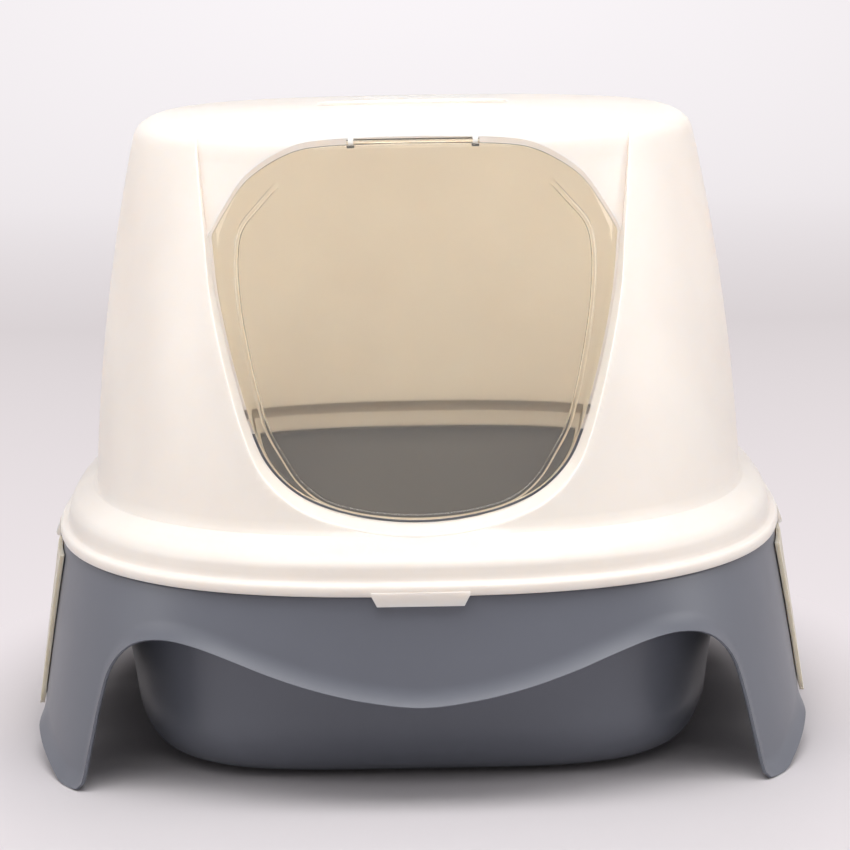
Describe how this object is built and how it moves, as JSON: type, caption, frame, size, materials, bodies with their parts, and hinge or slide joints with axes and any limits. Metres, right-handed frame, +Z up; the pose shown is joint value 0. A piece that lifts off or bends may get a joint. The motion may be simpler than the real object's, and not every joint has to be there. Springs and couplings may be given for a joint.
{
  "type": "hooded cat litter box",
  "caption": "Hooded cat litter box: deep tray in a wavy skirt on four legs, lift-off hood with a flared rim, curved see-through swing door, side clips and a folding carry handle.",
  "frame": {"origin": "on the floor under the middle of the box, at the bottom centre of the bounding box", "axes": "+Z up, -Y towards the front with the door, +X to the right seen from the front"},
  "size_m": [0.445, 0.5312, 0.3518],
  "materials": {
    "base_plastic": "satin blue-grey polypropylene",
    "hood_plastic": "satin ivory polypropylene",
    "door_plastic": "smoky see-through polystyrene",
    "clip_plastic": "translucent ivory polypropylene",
    "filter_foam": "charcoal filter pad"
  },
  "bodies": {
    "tray": {"base_tray": "base_plastic"},
    "hood": {"hood_shell": "hood_plastic", "filter_frame": "hood_plastic", "filter_pad": "filter_foam"},
    "door": {"swing_door": "door_plastic"},
    "clip_left": {"side_clip_left": "clip_plastic"},
    "clip_right": {"side_clip_right": "clip_plastic"},
    "handle": {"carry_handle": "hood_plastic"}
  },
  "joints": [
    {"name": "hood_lift", "type": "slide", "parent": "tray", "child": "hood", "axis": [0, 0, 1], "range_m": [0, 0.13]},
    {"name": "door_swing", "type": "hinge", "parent": "hood", "child": "door", "pos_m": [0, -0.1748, 0.3406], "axis": [1, 0, 0], "range_deg": [-60, 40]},
    {"name": "clip_left_open", "type": "hinge", "parent": "hood", "child": "clip_left", "pos_m": [-0.2106, 0, 0.1074], "axis": [0, 1, 0], "range_deg": [0, 80]},
    {"name": "clip_right_open", "type": "hinge", "parent": "hood", "child": "clip_right", "pos_m": [0.2106, 0, 0.1074], "axis": [0, -1, 0], "range_deg": [0, 80]},
    {"name": "handle_fold", "type": "hinge", "parent": "hood", "child": "handle", "pos_m": [0, -0.006, 0.3465], "axis": [1, 0, 0], "range_deg": [0, 90]}
  ]
}
